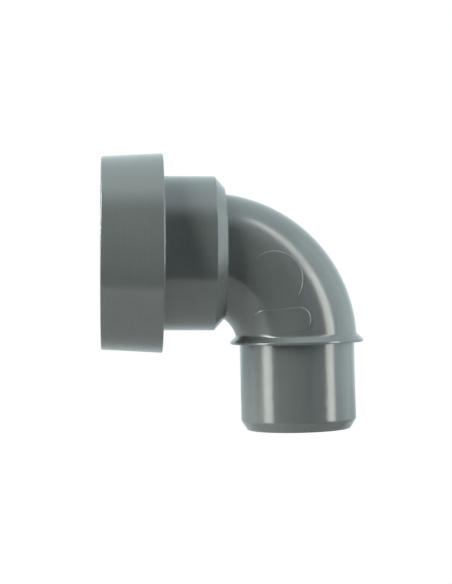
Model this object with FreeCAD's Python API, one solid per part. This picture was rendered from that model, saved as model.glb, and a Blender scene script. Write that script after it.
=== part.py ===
import FreeCAD, Part
import math
import os

# Grey PVC waste elbow of a little over 88 degrees, moulded in one piece.
# A wide stepped cup takes a pipe or a seal from the left, a short bend turns downwards,
# and a plain spigot below a thin flange goes into the next fitting.
# All sizes are in millimetres. The origin is on the cup's axis where the pipe stops, -X
# points out of the cup, and +Z is up. Apart from its two pads the elbow is symmetric about
# the plane Y = 0.

# Collar, the wide part of the cup at the mouth
collar_length = 21.2
collar_mouth_diameter = 67.0
collar_flare = 1.15  # how much the radius grows from the mouth to the back
collar_wall = 4.0
collar_floor = 3.8  # thickness of the ring that closes the collar at its back
collar_edge_round = 0.45
collar_root_round = 0.6  # hollow corner where the socket leaves the collar

# Socket, the narrow part of the cup
socket_diameter = 53.6
socket_wall = 3.8
socket_length = 17.9  # from the collar's back to the cone
cone_length = 3.45
cone_step = 1.95  # how far the cone's end stands out from the bend
cone_edge_round = 0.3
stop_setback = 2.0  # the inner cone, where the pipe stops, starts this far before the outer
stop_overrun = 2.0  # the inner cone is cut this much deeper than the bore's wall

# Lead-ins at the two inner mouths
mouth_lead_in = 1.2
socket_lead_in = 1.0

# Bend
bend_angle = 88.4
bend_radius = 31.65  # of the centreline
bend_reach_back = 6.0  # the bend starts this far inside the cup, before the cone's end
bend_proud = 1.0  # how far the bend's outside stands out from the spigot
bend_root_round = 0.4  # hollow corner between the cone's end face and the bend

# Spigot and its flange
spigot_diameter = 40.0
spigot_length = 30.0  # from the flange's underside
spigot_wall = 3.0
spigot_chamfer_depth = 2.0
spigot_chamfer_length = 3.2
spigot_chamfer_round = 1.2
spigot_tip_round = 0.3
spigot_inner_chamfer = 0.5
flange_proud = 2.2  # how far the flange stands out from the bend
flange_drop = 0.26  # from the bend's end to the flange's underside
flange_rim = 0.8  # thickness at the rim
flange_slope_height = 2.05
flange_rim_round = 0.25
flange_root_round = 1.0  # hollow corner between the bend and the flange's sloped face

# Two bare pads on the front of the bend, where a mould carries its marks. Each follows the
# bend's surface but leans out to one side, so that its rim fades away on the other.
pad_edge_round = 0.45
round_pad_diameter = 19.5
round_pad_height = 0.04  # at its middle
round_pad_lean = 0.65
round_pad_lean_angle = 66.0  # upwards from +X
pill_pad_width = 8.4
pill_pad_length = 11.5  # between the centres of its round ends
pill_pad_tilt = 5.5  # downwards from its right end to its left
pill_pad_angle = 72.9  # of its right end, along the bend
pill_pad_height = 0.18
pill_pad_lean = 0.25
pill_pad_lean_angle = -20.0

# Values worked out from the sizes above
collar_mouth_radius = collar_mouth_diameter / 2
collar_back_radius = collar_mouth_radius + collar_flare
collar_bore_radius = collar_mouth_radius - collar_wall
socket_radius = socket_diameter / 2
socket_bore_radius = socket_radius - socket_wall
spigot_radius = spigot_diameter / 2
bore_radius = spigot_radius - spigot_wall
bend_tube_radius = spigot_radius + bend_proud
cone_end_radius = bend_tube_radius + cone_step
flange_radius = bend_tube_radius + flange_proud
cone_start = stop_setback
cone_end = cone_start + cone_length
collar_back = cone_start - socket_length
mouth = collar_back - collar_length
collar_bore_end = collar_back - collar_floor
bend_start = cone_end - bend_reach_back
spigot_end = flange_drop + spigot_length  # along the spigot, from the bend's end
round_pad_angle = bend_angle / 2

clear = 1.0  # how far a cutting solid runs past the face that it opens

bend_turn = math.radians(bend_angle)
bend_centre = FreeCAD.Vector(bend_start, 0, -bend_radius)
bend_end = bend_centre + FreeCAD.Vector(
    bend_radius * math.sin(bend_turn), 0, bend_radius * math.cos(bend_turn)
)
spigot_frame = FreeCAD.Placement(
    bend_end, FreeCAD.Rotation(FreeCAD.Vector(0, 1, 0), bend_angle - 90)
)


def rounded_outline(corners):
    """Closed wire through corners, each given as (point, radius of its rounding)."""
    starts = []
    edges = []
    ends = []
    count = len(corners)
    for index in range(count):
        point, radius = corners[index]
        if radius == 0:
            starts.append(point)
            ends.append(point)
            continue
        to_last = (corners[index - 1][0] - point).normalize()
        to_next = (corners[(index + 1) % count][0] - point).normalize()
        half_angle = to_last.getAngle(to_next) / 2
        tangent = radius / math.tan(half_angle)
        inward = (to_last + to_next).normalize()
        middle = point + inward * (radius / math.sin(half_angle) - radius)
        start = point + to_last * tangent
        end = point + to_next * tangent
        starts.append(start)
        ends.append(end)
        edges.append(Part.Arc(start, middle, end).toShape())
    for index in range(count):
        start = ends[index]
        end = starts[(index + 1) % count]
        edges.append(Part.makeLine(start, end))
    return Part.Wire(Part.__sortEdges__(edges))


def turned(corners, axis):
    """Solid of revolution of a rounded outline about an axis through the origin."""
    outline = rounded_outline(corners)
    return Part.Face(outline).revolve(FreeCAD.Vector(), axis, 360)


def along_x(x, radius, rounding=0):
    return (FreeCAD.Vector(x, 0, radius), rounding)


def along_spigot(drop, radius, rounding=0):
    return (FreeCAD.Vector(radius, 0, -drop), rounding)


def cup_outside():
    """Collar, socket and cone as one turned solid about the X axis."""
    return turned(
        [
            along_x(mouth, 0),
            along_x(mouth, collar_mouth_radius, collar_edge_round),
            along_x(collar_back, collar_back_radius, collar_edge_round),
            along_x(collar_back, socket_radius, collar_root_round),
            along_x(cone_start, socket_radius, cone_edge_round),
            along_x(cone_end, cone_end_radius, cone_edge_round),
            along_x(cone_end, 0),
        ],
        FreeCAD.Vector(1, 0, 0),
    )


def cup_inside():
    """Stepped bore of the cup: collar bore, socket bore and the cone that stops the pipe."""
    stop_slope = (socket_radius - cone_end_radius) / cone_length
    stop_end_radius = bore_radius - stop_overrun
    stop_end = (socket_bore_radius - stop_end_radius) / stop_slope
    return turned(
        [
            along_x(mouth - clear, 0),
            along_x(mouth - clear, collar_bore_radius + mouth_lead_in + clear),
            along_x(mouth + mouth_lead_in, collar_bore_radius),
            along_x(collar_bore_end, collar_bore_radius, collar_root_round),
            along_x(collar_bore_end, socket_bore_radius + socket_lead_in),
            along_x(collar_bore_end + socket_lead_in, socket_bore_radius),
            along_x(0, socket_bore_radius),
            along_x(stop_end, stop_end_radius),
            along_x(stop_end, 0),
        ],
        FreeCAD.Vector(1, 0, 0),
    )


def bend_tube(radius):
    """Round bar of the given radius that follows the bend's centreline."""
    centre = FreeCAD.Vector(bend_start, 0, 0)
    circle = Part.makeCircle(radius, centre, FreeCAD.Vector(1, 0, 0))
    disc = Part.Face(Part.Wire(circle))
    return disc.revolve(bend_centre, FreeCAD.Vector(0, 1, 0), bend_angle)


def spigot_outside():
    """Flange and spigot as one turned solid, standing below the bend's end."""
    flange_root_radius = bend_tube_radius - clear
    rim_top = flange_drop - flange_rim
    root_top = rim_top - flange_slope_height * (1 + clear / flange_proud)
    tip_radius = spigot_radius - spigot_chamfer_depth
    chamfer_start = spigot_end - spigot_chamfer_length
    solid = turned(
        [
            along_spigot(root_top, 0),
            along_spigot(root_top, flange_root_radius),
            along_spigot(rim_top, flange_radius, flange_rim_round),
            along_spigot(flange_drop, flange_radius, flange_rim_round),
            along_spigot(flange_drop, spigot_radius),
            along_spigot(chamfer_start, spigot_radius, spigot_chamfer_round),
            along_spigot(spigot_end, tip_radius, spigot_tip_round),
            along_spigot(spigot_end, 0),
        ],
        FreeCAD.Vector(0, 0, 1),
    )
    solid.Placement = spigot_frame
    return solid


def spigot_inside():
    """Bore of the spigot with a small chamfer at its open end."""
    solid = turned(
        [
            along_spigot(0, 0),
            along_spigot(0, bore_radius),
            along_spigot(spigot_end - spigot_inner_chamfer, bore_radius),
            along_spigot(spigot_end + clear, bore_radius + spigot_inner_chamfer + clear),
            along_spigot(spigot_end + clear, 0),
        ],
        FreeCAD.Vector(0, 0, 1),
    )
    solid.Placement = spigot_frame
    return solid


def on_centreline(angle):
    """Point of the bend's centreline at an angle along it."""
    turn = math.radians(angle)
    return bend_centre + FreeCAD.Vector(math.sin(turn), 0, math.cos(turn)) * bend_radius


def in_front_plane(angle):
    """Unit vector in the plane Y = 0, at an angle upwards from +X."""
    turn = math.radians(angle)
    return FreeCAD.Vector(math.cos(turn), 0, math.sin(turn))


def disc_outline():
    """Outline of the round pad, in the plane Y = 0."""
    middle = on_centreline(round_pad_angle)
    circle = Part.makeCircle(round_pad_diameter / 2, middle, FreeCAD.Vector(0, -1, 0))
    return Part.Wire(circle)


def pill_outline():
    """Outline of the pill shaped pad, in the plane Y = 0."""
    radius = pill_pad_width / 2
    right = on_centreline(pill_pad_angle)
    along = in_front_plane(180 + pill_pad_tilt)
    across = in_front_plane(90 + pill_pad_tilt) * radius
    left = right + along * pill_pad_length
    right_end = Part.Arc(right - across, right - along * radius, right + across)
    left_end = Part.Arc(left + across, left + along * radius, left - across)
    top = Part.makeLine(right + across, left + across)
    bottom = Part.makeLine(left - across, right - across)
    return Part.Wire([right_end.toShape(), top, left_end.toShape(), bottom])


def mark_pad(outline, height, lean, lean_angle):
    """Low pad inside an outline. It follows the bend's surface, shifted by its lean."""
    reach = bend_tube_radius + height + lean + clear
    plug = Part.Face(outline).extrude(FreeCAD.Vector(0, -reach, 0))
    skin = bend_tube(bend_tube_radius + height)
    skin.translate(in_front_plane(lean_angle) * lean)
    pad = skin.common(plug)
    rims = []
    for face in pad.Faces:
        if isinstance(face.Surface, Part.Toroid):
            rims.extend(face.Edges)
    return pad.makeFillet(pad_edge_round, rims)


def is_bend(face):
    """True for the outer surface of the bend itself."""
    surface = face.Surface
    return isinstance(surface, Part.Toroid) and abs(surface.MinorRadius - bend_tube_radius) < 1e-6


def root_edges(solid, near, far):
    """Edges where the bend's surface meets another, on the side of near rather than far."""
    found = []
    for face in filter(is_bend, solid.Faces):
        for edge in face.Edges:
            if all(map(is_bend, solid.ancestorsOfType(edge, Part.Face))):
                continue
            middle = edge.CenterOfMass
            if middle.distanceToPoint(near) < middle.distanceToPoint(far):
                found.append(edge)
    return found


def outer_shell():
    """The elbow's outside with its hollow corners at the cone's end and at the flange."""
    outside = cup_outside().fuse([bend_tube(bend_tube_radius), spigot_outside()])
    outside = outside.removeSplitter()
    bend_mouth = FreeCAD.Vector(cone_end, 0, 0)
    outside = outside.makeFillet(bend_root_round, root_edges(outside, bend_mouth, bend_end))
    return outside.makeFillet(flange_root_round, root_edges(outside, bend_end, bend_mouth))


def elbow():
    pads = [
        mark_pad(disc_outline(), round_pad_height, round_pad_lean, round_pad_lean_angle),
        mark_pad(pill_outline(), pill_pad_height, pill_pad_lean, pill_pad_lean_angle),
    ]
    waterway = cup_inside().fuse([bend_tube(bore_radius), spigot_inside()])
    return outer_shell().fuse(pads).cut(waterway).removeSplitter()


os.makedirs("parts", exist_ok=True)
solid = elbow()
solid.exportStep("parts/elbow.step")
volume = solid.Volume / 1000
print("elbow: %d solid, valid %s, volume %.1f cm3" % (len(solid.Solids), solid.isValid(), volume))
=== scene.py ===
import bpy
import math
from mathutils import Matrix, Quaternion, Vector

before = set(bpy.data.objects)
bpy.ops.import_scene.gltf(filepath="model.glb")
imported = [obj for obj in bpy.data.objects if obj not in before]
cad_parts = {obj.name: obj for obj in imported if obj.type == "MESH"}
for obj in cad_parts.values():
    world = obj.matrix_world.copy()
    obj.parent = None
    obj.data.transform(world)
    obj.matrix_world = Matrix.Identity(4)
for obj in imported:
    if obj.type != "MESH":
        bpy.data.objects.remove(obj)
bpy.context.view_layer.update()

mm = 0.001  # lengths below are in millimetres, scaled by this
scene = bpy.context.scene


# camera, level with the elbow and a little left of its middle
cameraSet = {
    "place": (-29.81, -585.35, -7.91),
    "tilt": 89.4585,  # degrees up from straight down
    "roll": -0.1209,
    "turn": -3.5272,
    "lens": 103.75,
    "sensor": 36.0,
    "nearest": 10.0,  # anything closer is cut off
}


def makeCamera():
    data = bpy.data.cameras.new("camera")
    data.lens = cameraSet["lens"]
    data.sensor_width = cameraSet["sensor"]
    data.clip_start = cameraSet["nearest"] * mm
    camera = bpy.data.objects.new("camera", data)
    camera.location = Vector(cameraSet["place"]) * mm
    camera.rotation_euler = [math.radians(cameraSet[name]) for name in ("tilt", "roll", "turn")]
    scene.collection.objects.link(camera)
    scene.camera = camera


makeCamera()
print("camera in place")


# small helpers for node trees
def addNode(tree, kind, **sockets):
    node = tree.nodes.new(kind)
    for name, value in sockets.items():
        node.inputs[name.replace("_", " ")].default_value = value
    return node


def join(tree, start, startName, end, endName):
    tree.links.new(start.outputs[startName], end.inputs[endName])


def combine(tree, operation, first, second):
    node = tree.nodes.new("ShaderNodeMath")
    node.operation = operation
    tree.links.new(first, node.inputs[0])
    tree.links.new(second, node.inputs[1])
    return node.outputs["Value"]


# the room's light is a little cooler than the lamps'
roomTint = (0.85, 1.0, 1.03)
lampTint = (0.98, 1.0, 0.94)


def roomColor(tree, path):
    # plain white to the camera, tinted as light
    color = addNode(tree, "ShaderNodeMix")
    color.data_type = "RGBA"
    color.inputs[6].default_value = (*roomTint, 1)
    color.inputs[7].default_value = (1, 1, 1, 1)
    tree.links.new(path.outputs["Is Camera Ray"], color.inputs[0])
    return color.outputs[2]


def shownRays(tree, path):
    # 1 for the rays by which gloss and glass show what is around them
    return combine(tree, "MAXIMUM", path.outputs["Is Glossy Ray"],
                   path.outputs["Is Transmission Ray"])


# grey PVC as it leaves the mould: an even, slightly blue green grey with a gloss
# sizes of clouds, streaks, smears, waves and grain are counts per metre
pvcSet = {
    "dark": (0.171, 0.194, 0.197, 1),
    "light": (0.182, 0.206, 0.209, 1),
    "greySpread": (0.38, 0.62),  # noise values at which the dark and the light grey are reached
    "cloudSize": 55.0,
    "streakSize": (900.0, 900.0, 50.0),  # faint and upright
    "smearSize": 180.0,  # where the gloss varies
    "smearSpread": (0.3, 0.7),
    "roughLow": 0.17,
    "roughHigh": 0.21,
    "peelSize": 420.0,  # faint waviness of the moulded skin
    "peelStrength": 0.03,
    "peelDepth": 1.0,
    "grainSize": 5200.0,
    "grainStrength": 0.001,
    "grainDepth": 0.2,
    "ior": 1.53,
    "shine": 1.0,
}


def makePvc():
    material = bpy.data.materials.new("greyPvcMoulded")
    material.use_nodes = True
    tree = material.node_tree
    tree.nodes.clear()
    place = addNode(tree, "ShaderNodeTexCoord")

    clouds = addNode(tree, "ShaderNodeTexNoise", Scale=pvcSet["cloudSize"], Detail=3.0, Roughness=0.55)
    join(tree, place, "Object", clouds, "Vector")
    stretch = addNode(tree, "ShaderNodeMapping", Scale=pvcSet["streakSize"])
    join(tree, place, "Object", stretch, "Vector")
    streaks = addNode(tree, "ShaderNodeTexNoise", Scale=1.0, Detail=2.0, Roughness=0.5)
    join(tree, stretch, "Vector", streaks, "Vector")
    shade = addNode(tree, "ShaderNodeMix", Factor=0.5)
    join(tree, clouds, "Fac", shade, "A")
    join(tree, streaks, "Fac", shade, "B")
    tint = addNode(tree, "ShaderNodeValToRGB")
    for stop, position, grey in zip(tint.color_ramp.elements, pvcSet["greySpread"], ("dark", "light")):
        stop.position = position
        stop.color = pvcSet[grey]
    join(tree, shade, "Result", tint, "Fac")

    smears = addNode(tree, "ShaderNodeTexNoise", Scale=pvcSet["smearSize"], Detail=4.0, Roughness=0.6)
    join(tree, place, "Object", smears, "Vector")
    smearLow, smearHigh = pvcSet["smearSpread"]
    gloss = addNode(tree, "ShaderNodeMapRange", From_Min=smearLow, From_Max=smearHigh,
                    To_Min=pvcSet["roughLow"], To_Max=pvcSet["roughHigh"])
    join(tree, smears, "Fac", gloss, "Value")

    peel = addNode(tree, "ShaderNodeTexNoise", Scale=pvcSet["peelSize"], Detail=2.0, Roughness=0.5)
    join(tree, place, "Object", peel, "Vector")
    peelBump = addNode(tree, "ShaderNodeBump", Strength=pvcSet["peelStrength"],
                       Distance=pvcSet["peelDepth"] * mm)
    join(tree, peel, "Fac", peelBump, "Height")
    grain = addNode(tree, "ShaderNodeTexNoise", Scale=pvcSet["grainSize"], Detail=2.0, Roughness=0.6)
    join(tree, place, "Object", grain, "Vector")
    grainBump = addNode(tree, "ShaderNodeBump", Strength=pvcSet["grainStrength"],
                        Distance=pvcSet["grainDepth"] * mm)
    join(tree, grain, "Fac", grainBump, "Height")
    join(tree, peelBump, "Normal", grainBump, "Normal")

    skin = addNode(tree, "ShaderNodeBsdfPrincipled", IOR=pvcSet["ior"],
                   Specular_IOR_Level=pvcSet["shine"])
    join(tree, tint, "Color", skin, "Base Color")
    join(tree, gloss, "Result", skin, "Roughness")
    join(tree, grainBump, "Normal", skin, "Normal")
    out = addNode(tree, "ShaderNodeOutputMaterial")
    join(tree, skin, "BSDF", out, "Surface")
    return material


pvc = makePvc()
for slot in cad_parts["elbow"].material_slots:
    slot.material = pvc
print("elbow in grey PVC")


# pale table that ends a little in front of the elbow, and white all round it; further back it glows
# white to reflections in the elbow, a painted reflection of a brightly lit table
stageSet = {
    "tableTop": -150.0,
    "tableFront": -192.0,
    "tableBack": 1500.0,
    "tableHalfWidth": 1500.0,
    "tableColor": (0.8, 0.8, 0.8, 1),
    "paleWithin": 170.0,  # distance from the origin, up to which the table shows its own light
    "whiteFrom": 242.0,  # from here on it runs into the white background
    "nearGlow": 0.55,  # share of plain white under the elbow, to the camera alone
    "glossFrom": 40.0,  # y from which the table glows white to reflections in the elbow, a painted reflection
    "glossWhite": 190.0,  # y from which this painted reflection glow reaches its full share
    "paintedReflectionShare": 0.75,
}


def makeTable():
    mesh = bpy.data.meshes.new("table")
    side, front, back, top = [stageSet[name] * mm for name in
                              ("tableHalfWidth", "tableFront", "tableBack", "tableTop")]
    corners = [(-side, front, top), (side, front, top), (side, back, top), (-side, back, top)]
    mesh.from_pydata(corners, [], [(0, 1, 2, 3)])
    table = bpy.data.objects.new("table", mesh)
    scene.collection.objects.link(table)
    material = bpy.data.materials.new("tableWhite")
    material.use_nodes = True
    tree = material.node_tree
    tree.nodes.clear()
    paint = addNode(tree, "ShaderNodeBsdfDiffuse", Color=stageSet["tableColor"])
    glow = addNode(tree, "ShaderNodeEmission", Strength=1.0)
    place = addNode(tree, "ShaderNodeTexCoord")
    parts = addNode(tree, "ShaderNodeSeparateXYZ")
    join(tree, place, "Object", parts, "Vector")
    reflectionGlow = addNode(tree, "ShaderNodeMapRange", From_Min=stageSet["glossFrom"] * mm,
                  From_Max=stageSet["glossWhite"] * mm, To_Max=stageSet["paintedReflectionShare"])
    reflectionGlow.interpolation_type = "SMOOTHSTEP"
    join(tree, parts, "Y", reflectionGlow, "Value")
    distance = tree.nodes.new("ShaderNodeVectorMath")
    distance.operation = "LENGTH"
    join(tree, place, "Object", distance, "Vector")
    toCamera = addNode(tree, "ShaderNodeMapRange", From_Min=stageSet["paleWithin"] * mm,
                       From_Max=stageSet["whiteFrom"] * mm, To_Min=stageSet["nearGlow"])
    toCamera.interpolation_type = "SMOOTHSTEP"
    join(tree, distance, "Value", toCamera, "Value")
    path = addNode(tree, "ShaderNodeLightPath")
    tree.links.new(roomColor(tree, path), glow.inputs["Color"])
    seen = combine(tree, "MULTIPLY", path.outputs["Is Camera Ray"], toCamera.outputs["Result"])
    # reflections in the elbow see the table glow white here: a painted reflection, with no lamp behind
    # it
    gloss = combine(tree, "MULTIPLY", shownRays(tree, path), reflectionGlow.outputs["Result"])
    share = combine(tree, "MAXIMUM", seen, gloss)
    blend = addNode(tree, "ShaderNodeMixShader")
    tree.links.new(share, blend.inputs["Fac"])
    tree.links.new(paint.outputs[0], blend.inputs[1])
    tree.links.new(glow.outputs[0], blend.inputs[2])
    out = addNode(tree, "ShaderNodeOutputMaterial")
    join(tree, blend, "Shader", out, "Surface")
    mesh.materials.append(material)


makeTable()


# soft studio light: tall upright boxes on both sides, a metre from the elbow
# turn is in degrees from the camera's side, positive to the right
# lean tips a box about its line to the elbow; below zero, a right box's top stands further back
lampDistance = 1000.0
lampSet = {
    "leftBoxFoot": {"turn": -66.7, "width": 362, "bottom": -249, "top": 87, "lean": 0,
                    "glow": 3.8, "tint": lampTint},
    "leftBoxTop": {"turn": -66.7, "width": 362, "bottom": 87, "top": 1190, "lean": 0,
                   "glow": 13.0, "tint": lampTint},
    "rightBoxFoot": {"turn": 63.8, "width": 305, "bottom": -249, "top": 577, "lean": -3.2,
                     "glow": 4.55, "tint": lampTint},
    "rightBoxTop": {"turn": 68.1, "width": 305, "bottom": 577, "top": 2475, "lean": -3.2,
                    "glow": 3.1, "tint": lampTint},
    "rightFill": {"turn": 40, "width": 420, "bottom": -249, "top": 1190, "lean": 0,
                  "glow": 0.3, "tint": roomTint},
    "rightWall": {"turn": 100, "width": 728, "bottom": -140, "top": 1000, "lean": 0,
                  "glow": 0.4, "tint": roomTint},
}


def makeLamps():
    for name, part in lampSet.items():
        width, height = part["width"] * mm, (part["top"] - part["bottom"]) * mm
        data = bpy.data.lights.new(name, "AREA")
        data.shape = "RECTANGLE"
        data.size = width
        data.size_y = height
        data.energy = math.pi * width * height * part["glow"]
        data.color = part["tint"]
        turn = math.radians(part["turn"])
        away = Vector((math.sin(turn), -math.cos(turn), 0))
        middle = (part["top"] + part["bottom"]) / 2
        lamp = bpy.data.objects.new(name, data)
        lamp.location = (away * lampDistance + Vector((0, 0, middle))) * mm
        facing = (-away).to_track_quat("-Z", "Y")
        lean = Quaternion(away, math.radians(part["lean"]))
        lamp.rotation_euler = (lean @ facing).to_euler()
        scene.collection.objects.link(lamp)


makeLamps()


# the room: dim on the camera's side, white at the sides and behind for gloss and for the camera
worldSet = {
    "dimUntil": -0.60,  # y of a direction up to which the room is dark
    "brightFrom": -0.20,
    "roomLight": 0.05,  # for matt surfaces
    "white": 1.25,
}


def makeWorld():
    world = bpy.data.worlds.new("studio")
    scene.world = world
    world.use_nodes = True
    tree = world.node_tree
    tree.nodes.clear()
    direction = addNode(tree, "ShaderNodeTexCoord")
    parts = addNode(tree, "ShaderNodeSeparateXYZ")
    join(tree, direction, "Generated", parts, "Vector")
    side = addNode(tree, "ShaderNodeMapRange", From_Min=worldSet["dimUntil"],
                   From_Max=worldSet["brightFrom"])
    join(tree, parts, "Y", side, "Value")
    path = addNode(tree, "ShaderNodeLightPath")
    level = addNode(tree, "ShaderNodeMapRange", To_Min=worldSet["roomLight"], To_Max=worldSet["white"])
    tree.links.new(shownRays(tree, path), level.inputs["Value"])
    room = combine(tree, "MULTIPLY", side.outputs["Result"], level.outputs["Result"])
    seen = combine(tree, "MAXIMUM", path.outputs["Is Camera Ray"], room)
    glow = addNode(tree, "ShaderNodeBackground")
    tree.links.new(roomColor(tree, path), glow.inputs["Color"])
    tree.links.new(seen, glow.inputs["Strength"])
    out = addNode(tree, "ShaderNodeOutputWorld")
    join(tree, glow, "Background", out, "Surface")


makeWorld()
scene.view_settings.view_transform = "Standard"
print("stage and lamps in place")
